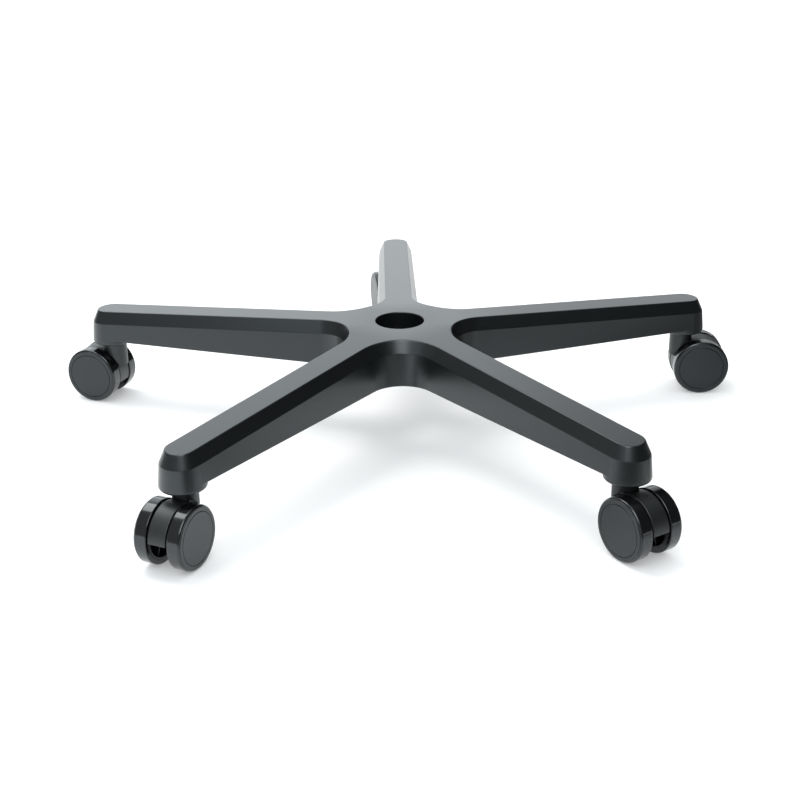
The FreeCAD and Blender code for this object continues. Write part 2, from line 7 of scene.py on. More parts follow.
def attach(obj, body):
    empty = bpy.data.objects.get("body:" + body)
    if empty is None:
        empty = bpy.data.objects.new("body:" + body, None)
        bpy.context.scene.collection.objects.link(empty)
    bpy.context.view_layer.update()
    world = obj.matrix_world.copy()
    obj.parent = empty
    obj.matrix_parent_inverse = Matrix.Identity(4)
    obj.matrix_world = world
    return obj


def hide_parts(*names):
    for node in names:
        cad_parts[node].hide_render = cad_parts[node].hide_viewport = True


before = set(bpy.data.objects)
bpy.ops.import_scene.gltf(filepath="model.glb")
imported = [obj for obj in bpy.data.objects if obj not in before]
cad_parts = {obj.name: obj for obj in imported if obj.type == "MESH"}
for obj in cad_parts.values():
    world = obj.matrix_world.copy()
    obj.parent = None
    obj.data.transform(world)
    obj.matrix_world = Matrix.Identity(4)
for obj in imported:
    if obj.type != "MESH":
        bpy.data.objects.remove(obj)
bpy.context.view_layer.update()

# Star base
# One die-cast aluminium star: five arms with a flat crest, a sloping bevel and a drafted wall, a hub
# with the socket for the gas lift, and a round boss under each tip. It is coated satin black.
MM = 0.001
ARMS = 5
HUB_HEIGHT = 121.0
STEM_CIRCLE = 330.0
SLOPE = math.tan(math.radians(3.23))
HUB_FLAT = 44.0
HUB_EASE = 14.0
TIP_REACH = STEM_CIRCLE + 2.0
CREST_HALF = 14.15
CREST_POCKET = 56.5
CREASE_HALF = 19.9
CREASE_TAPER = 0.22
CREASE_POCKET = 62.2
FOOT_HALF = 21.5
FOOT_TAPER = 0.72
FOOT_POCKET = 65.0
BEVEL_HEIGHT = 12.6
ARM_FOOT = 47.2
WALL = 3.5
CREST_PLATE = 4.5
CREST_ROUND = 1.3
CREASE_ROUND = 1.6
FOOT_ROUND = 0.9
INNER_EASE = 0.8
INNER_ROUND = 2.0
EDGE_STRIP = 3.0
BORE = 25.0
BORE_LAND = 22.0
BORE_FOOT = 24.2
MOUTH_ROUND = 0.9
MOUTH_STRIP = 2.5
HUB_TUBE = 33.0
TUBE_ROUND = 1.2
HUB_FOOT = 53.0
BOSS_FOOT = 53.7
HUB_ROWS = 5
POCKET_STEPS = 12
SIDE_STEPS = 6
TIP_STEPS = 14
RAY = math.pi / ARMS
STEM_GAP = 25.0
HEADINGS = [math.radians(18.0 + 72.0 * i) for i in range(ARMS)]


def arm_outline(half, taper_deg, apex, reach):
    """Points and outward directions round one arm's share of the star, from the ray on its left round the tip
    to the ray on its right."""
    lean = math.radians(taper_deg)
    side = Vector((math.sin(lean), math.cos(lean)))
    offset = reach * math.sin(lean) + half
    middle = (apex - offset) / (1 - math.sin(RAY + lean))
    centre = Vector((math.cos(RAY), math.sin(RAY))) * middle
    touch = centre - side * (middle - apex)
    end = Vector((reach, 0)) + side * half
    spots = []
    for i in range(POCKET_STEPS + 1):
        angle = math.pi + RAY + (math.pi / 2 - lean - RAY) * i / POCKET_STEPS
        way = Vector((math.cos(angle), math.sin(angle)))
        spots.append((centre + way * (middle - apex), -way))
    for i in range(1, SIDE_STEPS):
        spots.append((touch.lerp(end, i / SIDE_STEPS), side))
    for i in range(TIP_STEPS):
        angle = (math.pi / 2 - lean) * (1 - i / (TIP_STEPS - 0.5))
        way = Vector((math.cos(angle), math.sin(angle)))
        spots.append((Vector((reach, 0)) + way * half, way))
    mirrored = [(Vector((p.x, -p.y)), Vector((n.x, -n.y))) for p, n in reversed(spots)]
    return spots + mirrored


def rounded(corners, radii, steps=4, hold=0.9, closed=False):
    """A path through the corners with each one rounded, and a point held on the flat at each side."""
    path = []
    last = len(corners) - 1
    for i, (corner, radius) in enumerate(zip(corners, radii)):
        if not radius or (i in (0, last) and not closed):
            path.append(corner)
            continue
        back = (corners[i - 1] - corner).normalized()
        ahead = (corners[(i + 1) % len(corners)] - corner).normalized()
        half = back.angle(ahead) / 2
        reach = radius / math.tan(half)
        centre = corner + (back + ahead).normalized() * (radius / math.sin(half))
        path.append(corner + back * (reach + hold))
        start = corner + back * reach - centre
        finish = corner + ahead * reach - centre
        sweep = start.angle(finish)
        for k in range(steps + 1):
            part = k / steps
            turn = start * math.sin((1 - part) * sweep) + finish * math.sin(part * sweep)
            path.append(centre + turn / math.sin(sweep))
        path.append(corner + ahead * (reach + hold))
    return path


def section(*corners, steps=4, hold=0.9, closed=False):
    """A rounded path from corners that are given by radius, height and how far each one is rounded."""
    spots = [Vector(corner[:2]) for corner in corners]
    radii = [corner[2] for corner in corners]
    return rounded(spots, radii, steps, hold, closed)


def oblong(near, far, low, high):
    """The four corners of an upright rectangle."""
    return [(near, low), (far, low), (far, high), (near, high)]


def spun(mesh, path, place=Matrix.Identity(4), closed=False, steps=96):
    """A path of (radius, height) points turned about the upright axis of a place, with a pole where it starts
    or ends on that axis."""
    rings = []
    for spot in path:
        if spot[0] < 1e-6:
            rings.append([mesh.verts.new(place @ Vector((0, 0, spot[1])))] * steps)
            continue
        ring = []
        for k in range(steps):
            angle = 2 * math.pi * k / steps
            at = Vector((spot[0] * math.cos(angle), spot[0] * math.sin(angle), spot[1]))
            ring.append(mesh.verts.new(place @ at))
        rings.append(ring)
    pairs = list(zip(rings, rings[1:])) + ([(rings[-1], rings[0])] if closed else [])
    for one, two in pairs:
        for k in range(steps):
            after = (k + 1) % steps
            corners = [one[k], one[after], two[after], two[k]]
            mesh.faces.new(list(dict.fromkeys(corners)))


def slab(mesh, outline, half, place=Matrix.Identity(4), ease=0.4):
    """A flat plate from an outline in the x-z plane, as thick as twice its half, with its edges eased."""
    sides = [[mesh.verts.new(place @ Vector((x, y, z))) for x, z in outline] for y in (-half, half)]
    faces = [mesh.faces.new(sides[0]), mesh.faces.new(sides[1][::-1])]
    for i in range(len(outline)):
        after = (i + 1) % len(outline)
        faces.append(mesh.faces.new((sides[0][after], sides[0][i], sides[1][i], sides[1][after])))
    edges = list({edge for face in faces for edge in face.edges})
    bmesh.ops.bevel(mesh, geom=edges, offset=ease, segments=2, profile=0.5, affect="EDGES")


def new_piece(name, mesh):
    """An object at the origin that shows a mesh drawn in millimetres, faces outward."""
    bmesh.ops.recalc_face_normals(mesh, faces=mesh.faces)
    bmesh.ops.scale(mesh, vec=(MM, MM, MM), verts=mesh.verts)
    data = bpy.data.meshes.new(name)
    mesh.to_mesh(data)
    mesh.free()
    piece = bpy.data.objects.new(name, data)
    bpy.context.scene.collection.objects.link(piece)
    return piece


def settle(piece):
    """Keep what a piece's modifiers make as its own plain mesh."""
    depsgraph = bpy.context.evaluated_depsgraph_get()
    done = bpy.data.meshes.new_from_object(piece.evaluated_get(depsgraph))
    old = piece.data
    piece.modifiers.clear()
    piece.data = done
    bpy.data.meshes.remove(old)


def combine(piece, others, operation="DIFFERENCE"):
    """Cut other solids out of a piece, or unite them with it, and drop them."""
    for other in others:
        change = piece.modifiers.new("combine", "BOOLEAN")
        change.operation = operation
        change.solver = "EXACT"
        change.object = other
        settle(piece)
        bpy.data.objects.remove(other)


def join(piece, *others):
    """Put the meshes of other pieces in with a piece's own."""
    mesh = bmesh.new()
    for part in (piece, *others):
        mesh.from_mesh(part.data)
    mesh.to_mesh(piece.data)
    mesh.free()
    for part in others:
        bpy.data.objects.remove(part)


def smooth(piece, angle=32.0):
    """Shade a piece smooth, with its corners over an angle kept sharp."""
    piece.data.shade_smooth()
    piece.data.set_sharp_from_angle(angle=math.radians(angle))


def fall(x):
    """Height of the crest along an arm: flat round the hub, then a steady slope, with a soft change."""
    past = min(max(x - HUB_FLAT + HUB_EASE, 0.0), 2 * HUB_EASE)
    return -SLOPE * (past * past / (4 * HUB_EASE) + max(x - HUB_FLAT - HUB_EASE, 0.0))


def skin(mesh, rows):
    """Quads between rows of points."""
    made = [[mesh.verts.new(spot) for spot in row] for row in rows]
    for one, two in zip(made, made[1:]):
        for i in range(len(one) - 1):
            mesh.faces.new((one[i], one[i + 1], two[i + 1], two[i]))
    return made


def arm_mesh():
    """One fifth of the star, from the hub's bore out to the tip, open only where its neighbours join on."""
    mesh = bmesh.new()
    channel_reach = STEM_CIRCLE - STEM_GAP - FOOT_HALF + WALL
    crest = arm_outline(CREST_HALF, 0.0, CREST_POCKET, TIP_REACH)
    crease = arm_outline(CREASE_HALF, CREASE_TAPER, CREASE_POCKET, TIP_REACH)
    foot = arm_outline(FOOT_HALF, FOOT_TAPER, FOOT_POCKET, TIP_REACH)
    in_foot = arm_outline(FOOT_HALF - WALL, FOOT_TAPER, FOOT_POCKET - WALL, channel_reach)
    in_crease = arm_outline(CREASE_HALF - WALL, CREASE_TAPER, CREASE_POCKET - WALL, channel_reach)
    in_crest = arm_outline(CREST_HALF - WALL / 2, 0.0, CREST_POCKET - WALL / 2, channel_reach)
    radii = [0, CREST_ROUND, CREASE_ROUND, FOOT_ROUND, INNER_EASE, INNER_ROUND, INNER_ROUND, 0]
    rows = []
    for i in range(len(crest)):
        def level(outline, drop, inset=0.0):
            spot = outline[i][0] - outline[i][1] * inset
            return Vector((spot.x, spot.y, fall(spot.x) - drop))

        def flat(outline, height):
            spot = outline[i][0]
            return Vector((spot.x, spot.y, height))

        corners = [
            level(crest, 0.0, EDGE_STRIP),
            level(crest, 0.0),
            level(crease, BEVEL_HEIGHT),
            flat(foot, -ARM_FOOT),
            flat(in_foot, -ARM_FOOT),
            level(in_crease, BEVEL_HEIGHT),
            level(in_crest, CREST_PLATE),
            level(in_crest, CREST_PLATE, EDGE_STRIP),
        ]
        rows.append(rounded(corners, radii))
    made = skin(mesh, rows)
    last = len(made) - 1
    for k in (0, -1):
        for i in range(1 if k == 0 else 0, last // 2):
            mesh.faces.new([made[i][k], made[i + 1][k], made[last - i - 1][k], made[last - i][k]])
    steps = 2 * POCKET_STEPS
    rims = []
    radii = [0, MOUTH_ROUND, 0, INNER_EASE, TUBE_ROUND, INNER_ROUND, 0]
    down = Vector((0, 0, -1))
    for i in range(steps + 1):
        angle = RAY - 2 * RAY * i / steps
        way = Vector((math.cos(angle), math.sin(angle), 0))
        corners = [
            way * (BORE + MOUTH_STRIP),
            way * BORE,
            way * BORE + down * BORE_LAND,
            way * BORE_FOOT + down * HUB_FOOT,
            way * HUB_TUBE + down * HUB_FOOT,
            way * HUB_TUBE + down * CREST_PLATE,
            way * (HUB_TUBE + EDGE_STRIP) + down * CREST_PLATE,
        ]
        rims.append(rounded(corners, radii))
    hub = skin(mesh, [row[::-1] for row in rims])
    near = made[0][0].co.x
    face_rows = [[row[-1] for row in hub]]
    for j in range(1, HUB_ROWS + 1):
        face_row = []
        for i, inner in enumerate(face_rows[0]):
            outer = inner.co * (near / inner.co.x)
            spot = inner.co.lerp(outer, j / HUB_ROWS)
            face_row.append(mesh.verts.new((spot.x, spot.y, fall(spot.x))))
        face_rows.append(face_row)
    for k, corner in ((0, made[0][0]), (-1, made[last][0])):
        bmesh.ops.pointmerge(mesh, verts=[corner, face_rows[-1][k]], merge_co=corner.co)
        face_rows[-1][k] = corner
    for one, two in zip(face_rows, face_rows[1:]):
        for i in range(steps):
            mesh.faces.new((one[i], one[i + 1], two[i + 1], two[i]))
    mesh.faces.new(face_rows[-1] + [made[last - 1][0], made[1][0]])
    mesh.faces.new([row[0] for row in hub][::-1] + [made[0][-1], made[last][-1]])
    return mesh


def ring_of_copies():
    """Geometry nodes that stand copies of a piece round its upright axis, weld them and give their finish."""
    tree = bpy.data.node_groups.new("ring_of_copies", "GeometryNodeTree")
    face = tree.interface
    face.new_socket(name="Piece", in_out="INPUT", socket_type="NodeSocketGeometry")
    count = face.new_socket(name="Copies", in_out="INPUT", socket_type="NodeSocketInt")
    heading = face.new_socket(name="First heading", in_out="INPUT", socket_type="NodeSocketFloat")
    finish = face.new_socket(name="Finish", in_out="INPUT", socket_type="NodeSocketMaterial")
    face.new_socket(name="Ring", in_out="OUTPUT", socket_type="NodeSocketGeometry")
    start = tree.nodes.new("NodeGroupInput")
    result = tree.nodes.new("NodeGroupOutput")
    points = tree.nodes.new("GeometryNodePoints")
    index = tree.nodes.new("GeometryNodeInputIndex")
    step = tree.nodes.new("ShaderNodeMath")
    step.operation = "DIVIDE"
    step.inputs[0].default_value = 2 * math.pi
    turn = tree.nodes.new("ShaderNodeMath")
    turn.operation = "MULTIPLY_ADD"
    heading_xyz = tree.nodes.new("ShaderNodeCombineXYZ")
    copies = tree.nodes.new("GeometryNodeInstanceOnPoints")
    real = tree.nodes.new("GeometryNodeRealizeInstances")
    weld = tree.nodes.new("GeometryNodeMergeByDistance")
    weld.inputs["Distance"].default_value = 1e-6
    paint = tree.nodes.new("GeometryNodeSetMaterial")
    link = tree.links.new
    link(start.outputs["Copies"], points.inputs["Count"])
    link(start.outputs["Copies"], step.inputs[1])
    link(index.outputs[0], turn.inputs[0])
    link(step.outputs[0], turn.inputs[1])
    link(start.outputs["First heading"], turn.inputs[2])
    link(turn.outputs[0], heading_xyz.inputs["Z"])
    link(points.outputs[0], copies.inputs["Points"])
    link(start.outputs["Piece"], copies.inputs["Instance"])
    link(heading_xyz.outputs[0], copies.inputs["Rotation"])
    link(copies.outputs[0], real.inputs[0])
    link(real.outputs[0], weld.inputs["Geometry"])
    link(weld.outputs[0], paint.inputs["Geometry"])
    link(start.outputs["Finish"], paint.inputs["Material"])
    link(paint.outputs[0], result.inputs[0])
    return tree, count.identifier, heading.identifier, finish.identifier


copies_tree, COPIES, FIRST_HEADING, FINISH = ring_of_copies()


def repeat(piece, copies, first_heading, finish):
    """Turn one piece into an even ring of copies about its upright axis."""
    change = piece.modifiers.new("ring", "NODES")
    change.node_group = copies_tree
    change[COPIES] = copies
    change[FIRST_HEADING] = first_heading
    change[FINISH] = finish
    settle(piece)


# Painted light colour: the gloss of every non-metal finish is tinted cool to stand for the cool studio light
# it mirrors.
COOL_LIGHT_IN_GLOSS = (0.90, 0.97, 1.0, 1.0)


def shader(name, colour, roughness, metallic=0.0, index=1.5, grain=0.0, size=800.0, mottle=0.0):
    """A plain finish: one colour, with a fine grain and a slight change of gloss where they are asked for."""
    material = bpy.data.materials.new(name)
    material.use_nodes = True
    nodes = material.node_tree.nodes
    link = material.node_tree.links.new
    surface = nodes["Principled BSDF"]
    surface.inputs["Base Color"].default_value = (*colour, 1.0)
    surface.inputs["Roughness"].default_value = roughness
    surface.inputs["Metallic"].default_value = metallic
    surface.inputs["IOR"].default_value = index
    # The painted cool tint of the light goes on the gloss.
    if not metallic:
        surface.inputs["Specular Tint"].default_value = COOL_LIGHT_IN_GLOSS
    place = nodes.new("ShaderNodeTexCoord")
    noise = nodes.new("ShaderNodeTexNoise")
    noise.inputs["Scale"].default_value = size
    noise.inputs["Detail"].default_value = 3.0
    link(place.outputs["Object"], noise.inputs["Vector"])
    if grain:
        bump = nodes.new("ShaderNodeBump")
        bump.inputs["Strength"].default_value = 1.0
        bump.inputs["Distance"].default_value = grain
        link(noise.outputs["Fac"], bump.inputs["Height"])
        link(bump.outputs["Normal"], surface.inputs["Normal"])
    if mottle:
        spread = nodes.new("ShaderNodeMapRange")
        spread.inputs["To Min"].default_value = roughness - mottle
        spread.inputs["To Max"].default_value = roughness + mottle
        link(noise.outputs["Fac"], spread.inputs["Value"])
        link(spread.outputs["Result"], surface.inputs["Roughness"])
    return material


def upright(heading, x):
    """Place of an upright axis on an arm, at a distance from the hub."""
    return Matrix.Rotation(heading, 4, "Z") @ Matrix.Translation((x, 0, 0))


coat = shader("satin_black_coat", (0.0036, 0.0046, 0.0052), 0.29, index=1.6, grain=0.00001, size=700.0)
star = new_piece("star_casting", arm_mesh())
repeat(star, ARMS, HEADINGS[0], coat)
BOSS_STEPS = 120
BOSS_HALF = 21.8
BOSS_EASE = 50.7
BOSS_ROUND = 2.6
BOSS_MIDDLE = 4.0
BOSS_ROOF = 40.0
WALL_DRAFT = 1.6
SEAM = 2.4
SEAM_HEEL = 3.4
SEAM_LIP = 0.6
PROUD = 0.05


def boss_mesh(mesh, place):
    """The round boss under a tip. It takes the tip's wall down from just under the crease to a round foot."""
    columns = []
    for k in range(BOSS_STEPS):
        angle = 2 * math.pi * k / BOSS_STEPS
        way = Vector((math.cos(angle), math.sin(angle), 0))
        crease = fall(TIP_REACH + CREASE_HALF * way.x) - BEVEL_HEIGHT
        share = SEAM / (crease + ARM_FOOT)
        top = CREASE_HALF + WALL_DRAFT * share + PROUD
        profile = section(
            (BOSS_MIDDLE, -BOSS_ROOF, 0),
            (top - SEAM_LIP, crease - SEAM_HEEL, 0),
            (top, crease - SEAM, 0),
            (FOOT_HALF + PROUD, -ARM_FOOT, 0),
            (BOSS_HALF, -BOSS_EASE, 0),
            (BOSS_HALF, -BOSS_FOOT, BOSS_ROUND),
            (BOSS_MIDDLE, -BOSS_FOOT, 0),
            steps=6,
            hold=0.1,
        )
        column = []
        for radius, height in profile:
            spot = way * radius + Vector((TIP_REACH, 0, height))
            column.append(mesh.verts.new(place @ spot))
        columns.append(column)
    for one, two in zip(columns, columns[1:] + columns[:1]):
        for i in range(len(one) - 1):
            mesh.faces.new((one[i], one[i + 1], two[i + 1], two[i]))
    mesh.faces.new([column[0] for column in columns])
    mesh.faces.new([column[-1] for column in columns])


SOCKET_TUBE = 10.0
BOSS_CORE = 17.0
CORE_ROOF = -31.0
SOCKET_HALF = 5.6
SOCKET_ROOF = -28.7
BELOW = -60.0
cores = bmesh.new()
bosses = bmesh.new()
for heading in HEADINGS:
    stem_axis = upright(heading, STEM_CIRCLE)
    spun(cores, oblong(SOCKET_TUBE, BOSS_CORE, CORE_ROOF, BELOW), stem_axis, closed=True, steps=64)
    spun(cores, oblong(0.0, SOCKET_HALF, SOCKET_ROOF, BELOW), stem_axis, steps=64)
    boss_mesh(bosses, Matrix.Rotation(heading, 4, "Z"))
cutter = new_piece("core_cutter", cores)
boss_piece = new_piece("tip_bosses", bosses)
second_cutter = cutter.copy()
second_cutter.data = cutter.data.copy()
bpy.context.scene.collection.objects.link(second_cutter)
combine(star, [cutter])
combine(boss_piece, [second_cutter])

RIB_START = HUB_TUBE - WALL
KEEL_FOOT = -41.0
KEEL_END = 320.0
KEEL_HALF = 1.5
KEEL = [
    (RIB_START, KEEL_FOOT),
    (KEEL_END, KEEL_FOOT),
    (KEEL_END, fall(KEEL_END) - CREST_PLATE / 2),
    (RIB_START, -4.0),
]
CROSS_RIB = oblong(-17.8, 17.8, -51.9, -30.0)
SPOKE_RIB = oblong(RIB_START, 56.0, -44.5, -4.4)
SPOKE_HALF = 2.0
ribs = bmesh.new()
for heading in HEADINGS:
    slab(ribs, KEEL, KEEL_HALF, Matrix.Rotation(heading, 4, "Z"))
    stem_axis = upright(heading, STEM_CIRCLE)
    for turn in (0.0, math.pi / 2):
        slab(ribs, CROSS_RIB, KEEL_HALF, stem_axis @ Matrix.Rotation(turn, 4, "Z"))
    slab(ribs, SPOKE_RIB, SPOKE_HALF, Matrix.Rotation(heading + RAY, 4, "Z"))
rib_piece = new_piece("ribs", ribs)
join(star, boss_piece, rib_piece)
star.name = "star_base_casting"
star.data.materials.clear()
star.data.materials.append(coat)
for face in star.data.polygons:
    face.material_index = 0
smooth(star)
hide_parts("star_base")
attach(star, "base")

# Castor stems, grip rings, clips and axles
# Turned steel stems and axles, and split spring-steel rings and clips that hold each castor on its stem.
# Most of them are hidden in the casting and the housings, and they keep the forms of the frame.
plated = shader("plated_steel", (0.56, 0.56, 0.55), 0.28, metallic=1.0, mottle=0.05, size=900.0)
spring = shader("spring_steel", (0.30, 0.30, 0.31), 0.38, metallic=1.0, mottle=0.05, size=900.0)
CASTORS = {
    "back": (90.0, 100.0),
    "left": (162.0, 157.8),
    "front_left": (234.0, 244.0),
    "front_right": (306.0, 301.6),
    "right": (18.0, 358.6),
}


def paint(node, finish):
    """Give a frame node its finish."""
    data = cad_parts[node].data
    data.materials.clear()
    data.materials.append(finish)


for castor in CASTORS:
    for part, finish in (("stem", plated), ("axle", plated), ("grip_ring", spring), ("stem_clip", spring)):
        paint(castor + "_" + part, finish)

# Castor housings
# One nylon moulding over each pair of wheels: a hood between them, a neck that turns on the stem, and
# the web and boss that hold the axle. Its matt grain comes from the mould.
TRAIL = 21.0
WHEEL_HALF = 30.0
HOOD_OUTER = 29.3
HOOD_INNER = 26.5
HOOD_HALF = 9.0
HOOD_FRONT = math.radians(3.5)
HOOD_BACK = math.radians(200.0)
HOOD_EDGE = 0.7
HOOD_STEPS = 60
END_STEPS = 4
NECK_HALF = 12.1
NECK_FOOT = 40.0
NECK_TOP = 66.5
WHEEL_ROOM = 31.2
WHEEL_DEPTH = 14.0
WEB_HALF = 2.5
AXLE_BOSS = 7.5
AXLE_BOSS_REACH = 9.3
AXLE_HALF = 3.0
FLANGE_ROOM = 9.1
FLANGE_FLOOR = 65.15
PIVOT_ROOM = 5.06
CLIP_ROOM = 7.4
CLIP_TOP = 47.35


def hood_mesh():
    """The hood's band swept round the axle, with its long edges and its two ends rounded over."""
    mesh = bmesh.new()
    stops = []
    for k in range(END_STEPS + 1):
        part = math.radians(90.0 * k / END_STEPS)
        stops.append((HOOD_EDGE * (1 - math.cos(part)) / HOOD_OUTER, HOOD_EDGE * (1 - math.sin(part))))
    sweep = [(HOOD_FRONT + turn, inset) for turn, inset in stops]
    for k in range(1, HOOD_STEPS):
        sweep.append((HOOD_FRONT + (HOOD_BACK - HOOD_FRONT) * k / HOOD_STEPS, 0.0))
    sweep += [(HOOD_BACK - turn, inset) for turn, inset in reversed(stops)]
    loops = []
    for angle, inset in sweep:
        low = HOOD_INNER + inset
        high = HOOD_OUTER - inset
        half = HOOD_HALF - inset
        outer = HOOD_EDGE + PROUD - inset
        inner = outer * 0.6
        ring = section(
            (low, -half, inner),
            (high, -half, outer),
            (high, half, outer),
            (low, half, inner),
            hold=0.15,
            closed=True,
        )
        loop = []
        for r, y in ring:
            spot = Vector((TRAIL + r * math.cos(angle), y, WHEEL_HALF + r * math.sin(angle)))
            loop.append(mesh.verts.new(spot))
        loops.append(loop)
    for one, two in zip(loops, loops[1:]):
        for i in range(len(one)):
            after = (i + 1) % len(one)
            mesh.faces.new((one[i], one[after], two[after], two[i]))
    mesh.faces.new(loops[0])
    mesh.faces.new(loops[-1][::-1])
    return mesh


def across(x, z, y=0.0):
    """Place of an axis that runs across the castor."""
    return Matrix.Translation((x, y, z)) @ Matrix.Rotation(math.radians(-90.0), 4, "X")


def one_solid(name, path, place, closed=False, steps=96):
    """A turned solid as a piece of its own."""
    mesh = bmesh.new()
    spun(mesh, path, place, closed, steps)
    return new_piece(name, mesh)


def housing_form():
    """The whole housing, standing at its own stem with the trailing side along x and the floor at zero."""
    form = new_piece("housing_form", hood_mesh())
    neck_path = section(
        (0.0, NECK_FOOT, 0),
        (NECK_HALF, NECK_FOOT, 0),
        (NECK_HALF, NECK_TOP, HOOD_EDGE),
        (0.0, NECK_TOP, 0),
        hold=0.2,
    )
    neck = one_solid("neck", neck_path, Matrix.Identity(4))
    scoops = []
    for y in (-HOOD_HALF - WHEEL_DEPTH, HOOD_HALF):
        path = oblong(0.0, WHEEL_ROOM, 0.0, WHEEL_DEPTH)
        scoops.append(one_solid("scoop", path, across(TRAIL, WHEEL_HALF, y), steps=160))
    combine(neck, scoops)
    combine(form, [neck], "UNION")
    webs = bmesh.new()
    slab(webs, [(7.1, NECK_FOOT), (17.25, 26.25), (24.75, 30.0), (23.5, 57.9), (7.1, 52.5)], WEB_HALF)
    web = new_piece("web", webs)
    boss_path = section(
        (0.0, -AXLE_BOSS_REACH, 0),
        (AXLE_BOSS, -AXLE_BOSS_REACH, 0.5),
        (AXLE_BOSS, AXLE_BOSS_REACH, 0.5),
        (0.0, AXLE_BOSS_REACH, 0),
        hold=0.2,
    )
    boss = one_solid("axle_boss", boss_path, across(TRAIL, WHEEL_HALF), steps=64)
    combine(form, [web, boss], "UNION")
    above_neck = 70.0
    below_neck = 38.8
    bore_path = [
        (0.0, above_neck),
        (FLANGE_ROOM, above_neck),
        (FLANGE_ROOM, FLANGE_FLOOR),
        (PIVOT_ROOM, FLANGE_FLOOR),
        (PIVOT_ROOM, CLIP_TOP),
        (CLIP_ROOM, CLIP_TOP),
        (CLIP_ROOM, below_neck),
        (0.0, below_neck),
    ]
    bore = one_solid("stem_bore", bore_path, Matrix.Identity(4), steps=64)
    hole_path = oblong(0.0, AXLE_HALF, -20.0, 20.0)
    hole = one_solid("axle_hole", hole_path, across(TRAIL, WHEEL_HALF), steps=48)
    combine(form, [bore, hole])
    return form


def castor_place(castor):
    """From a castor's own frame to the part's frame, in metres."""
    stand, trail = (math.radians(angle) for angle in CASTORS[castor])
    spot = Vector((STEM_CIRCLE * math.cos(stand), STEM_CIRCLE * math.sin(stand), -HUB_HEIGHT)) * MM
    return Matrix.Translation(spot) @ Matrix.Rotation(trail, 4, "Z")


def placed(name, form, place, finish):
    """A copy of a form at its own place, in its own finish."""
    data = form.data.copy()
    data.name = name
    data.transform(place)
    data.materials.clear()
    data.materials.append(finish)
    piece = bpy.data.objects.new(name, data)
    bpy.context.scene.collection.objects.link(piece)
    return piece


housing = housing_form()
smooth(housing)
nylon = shader("grained_nylon", (0.0035, 0.0036, 0.0037), 0.46, index=1.63, grain=0.00010, size=1400.0)
for castor in CASTORS:
    piece = placed(castor + "_hood", housing, castor_place(castor), nylon)
    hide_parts(castor + "_housing")
    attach(piece, castor + "_castor")
bpy.data.objects.remove(housing)

# Castor wheels
# Each wheel is a moulded nylon core with five spokes behind its disc, a soft polyurethane tread
# moulded round the rim, and a plain cap pressed into its face.
SPOKES = 5
HOLE_HALF = 3.06
HOLE_END = 20.55
HUB_HALF = 6.5
HUB_INNER = 9.6
DISC_INNER = 20.8
DISC_OUTER = 22.8
RIM_INNER = 23.4
TREAD_SEAT = 26.5
WHEEL_INNER = 10.6
TREAD_OUTER = 23.2
FACE_RIM = 28.5
FACE_BACK = 23.1
FACE_OUTER = 24.0
CAP_SEAT = 24.35
CAP_HALF = 24.1


def wheel_core():
    """Hub, disc, rim and raised face ring, turned in one path, with spokes between hub and rim."""
    path = section(
        (0.0, HOLE_END, 0),
        (HOLE_HALF, HOLE_END, 0),
        (HOLE_HALF, HUB_INNER, 0.3),
        (HUB_HALF, HUB_INNER, 0.3),
        (HUB_HALF, DISC_INNER, 0.6),
        (RIM_INNER, DISC_INNER, 0.6),
        (RIM_INNER, WHEEL_INNER, 0.3),
        (TREAD_SEAT, WHEEL_INNER, 0),
        (TREAD_SEAT, TREAD_OUTER, 0),
        (FACE_RIM, FACE_BACK, 0),
        (FACE_RIM, FACE_OUTER, 0.75),
        (CAP_SEAT, FACE_OUTER, 0.45),
        (CAP_SEAT, DISC_OUTER, 0),
        (0.0, DISC_OUTER, 0),
        hold=0.12,
    )
    core = one_solid("core_form", path, Matrix.Identity(4), steps=128)
    mesh = bmesh.new()
    slab(mesh, oblong(6.1, 23.8, 14.0, 21.2), 0.8, ease=0.25)
    spokes = new_piece("spoke_form", mesh)
    repeat(spokes, SPOKES, 0.0, wheel_nylon)
    join(core, spokes)
    return core


wheel_nylon = shader("wheel_nylon", (0.010, 0.0115, 0.013), 0.36, grain=0.00004, size=1600.0)
cap_nylon = shader("cap_nylon", (0.008, 0.0095, 0.011), 0.36, grain=0.00004, size=1600.0)
rubber = shader("tread_polyurethane", (0.004, 0.004, 0.0045), 0.13, index=1.6, mottle=0.02, size=300.0)
core_form = wheel_core()
tread_path = section(
    (TREAD_SEAT, WHEEL_INNER, 0),
    (WHEEL_HALF, WHEEL_INNER, 1.0),
    (WHEEL_HALF, TREAD_OUTER, 2.1),
    (TREAD_SEAT, TREAD_OUTER, 0),
    steps=8,
    hold=0.3,
    closed=True,
)
tread_form = one_solid("tread_form", tread_path, Matrix.Identity(4), closed=True, steps=160)
cap_path = section(
    (0.0, DISC_OUTER, 0),
    (CAP_HALF, DISC_OUTER, 0),
    (CAP_HALF, FACE_OUTER, 0.5),
    (0.0, FACE_OUTER, 0),
    hold=0.3,
)
cap_form = one_solid("cap_form", cap_path, Matrix.Identity(4), steps=128)
WHEEL_PARTS = (
    (core_form, "core", wheel_nylon, "wheel_nylon"),
    (tread_form, "tread", rubber, "tread_polyurethane"),
    (cap_form, "cap", cap_nylon, "cap_nylon"),
)
AXLE_SPOT = Vector((TRAIL, 0, WHEEL_HALF)) * MM
for form in (core_form, tread_form, cap_form):
    smooth(form)
for castor in CASTORS:
    for side, turn in (("left", -90.0), ("right", 90.0)):
        axle = Matrix.Translation(AXLE_SPOT) @ Matrix.Rotation(math.radians(turn), 4, "X")
        place = castor_place(castor) @ axle
        wheel = castor + "_" + side + "_wheel"
        for form, part, finish, slot in WHEEL_PARTS:
            piece = placed(wheel + "_" + part + "_piece", form, place, finish)
            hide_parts(wheel + "_" + part)
            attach(piece, wheel)
for form in (core_form, tread_form, cap_form):
    bpy.data.objects.remove(form)

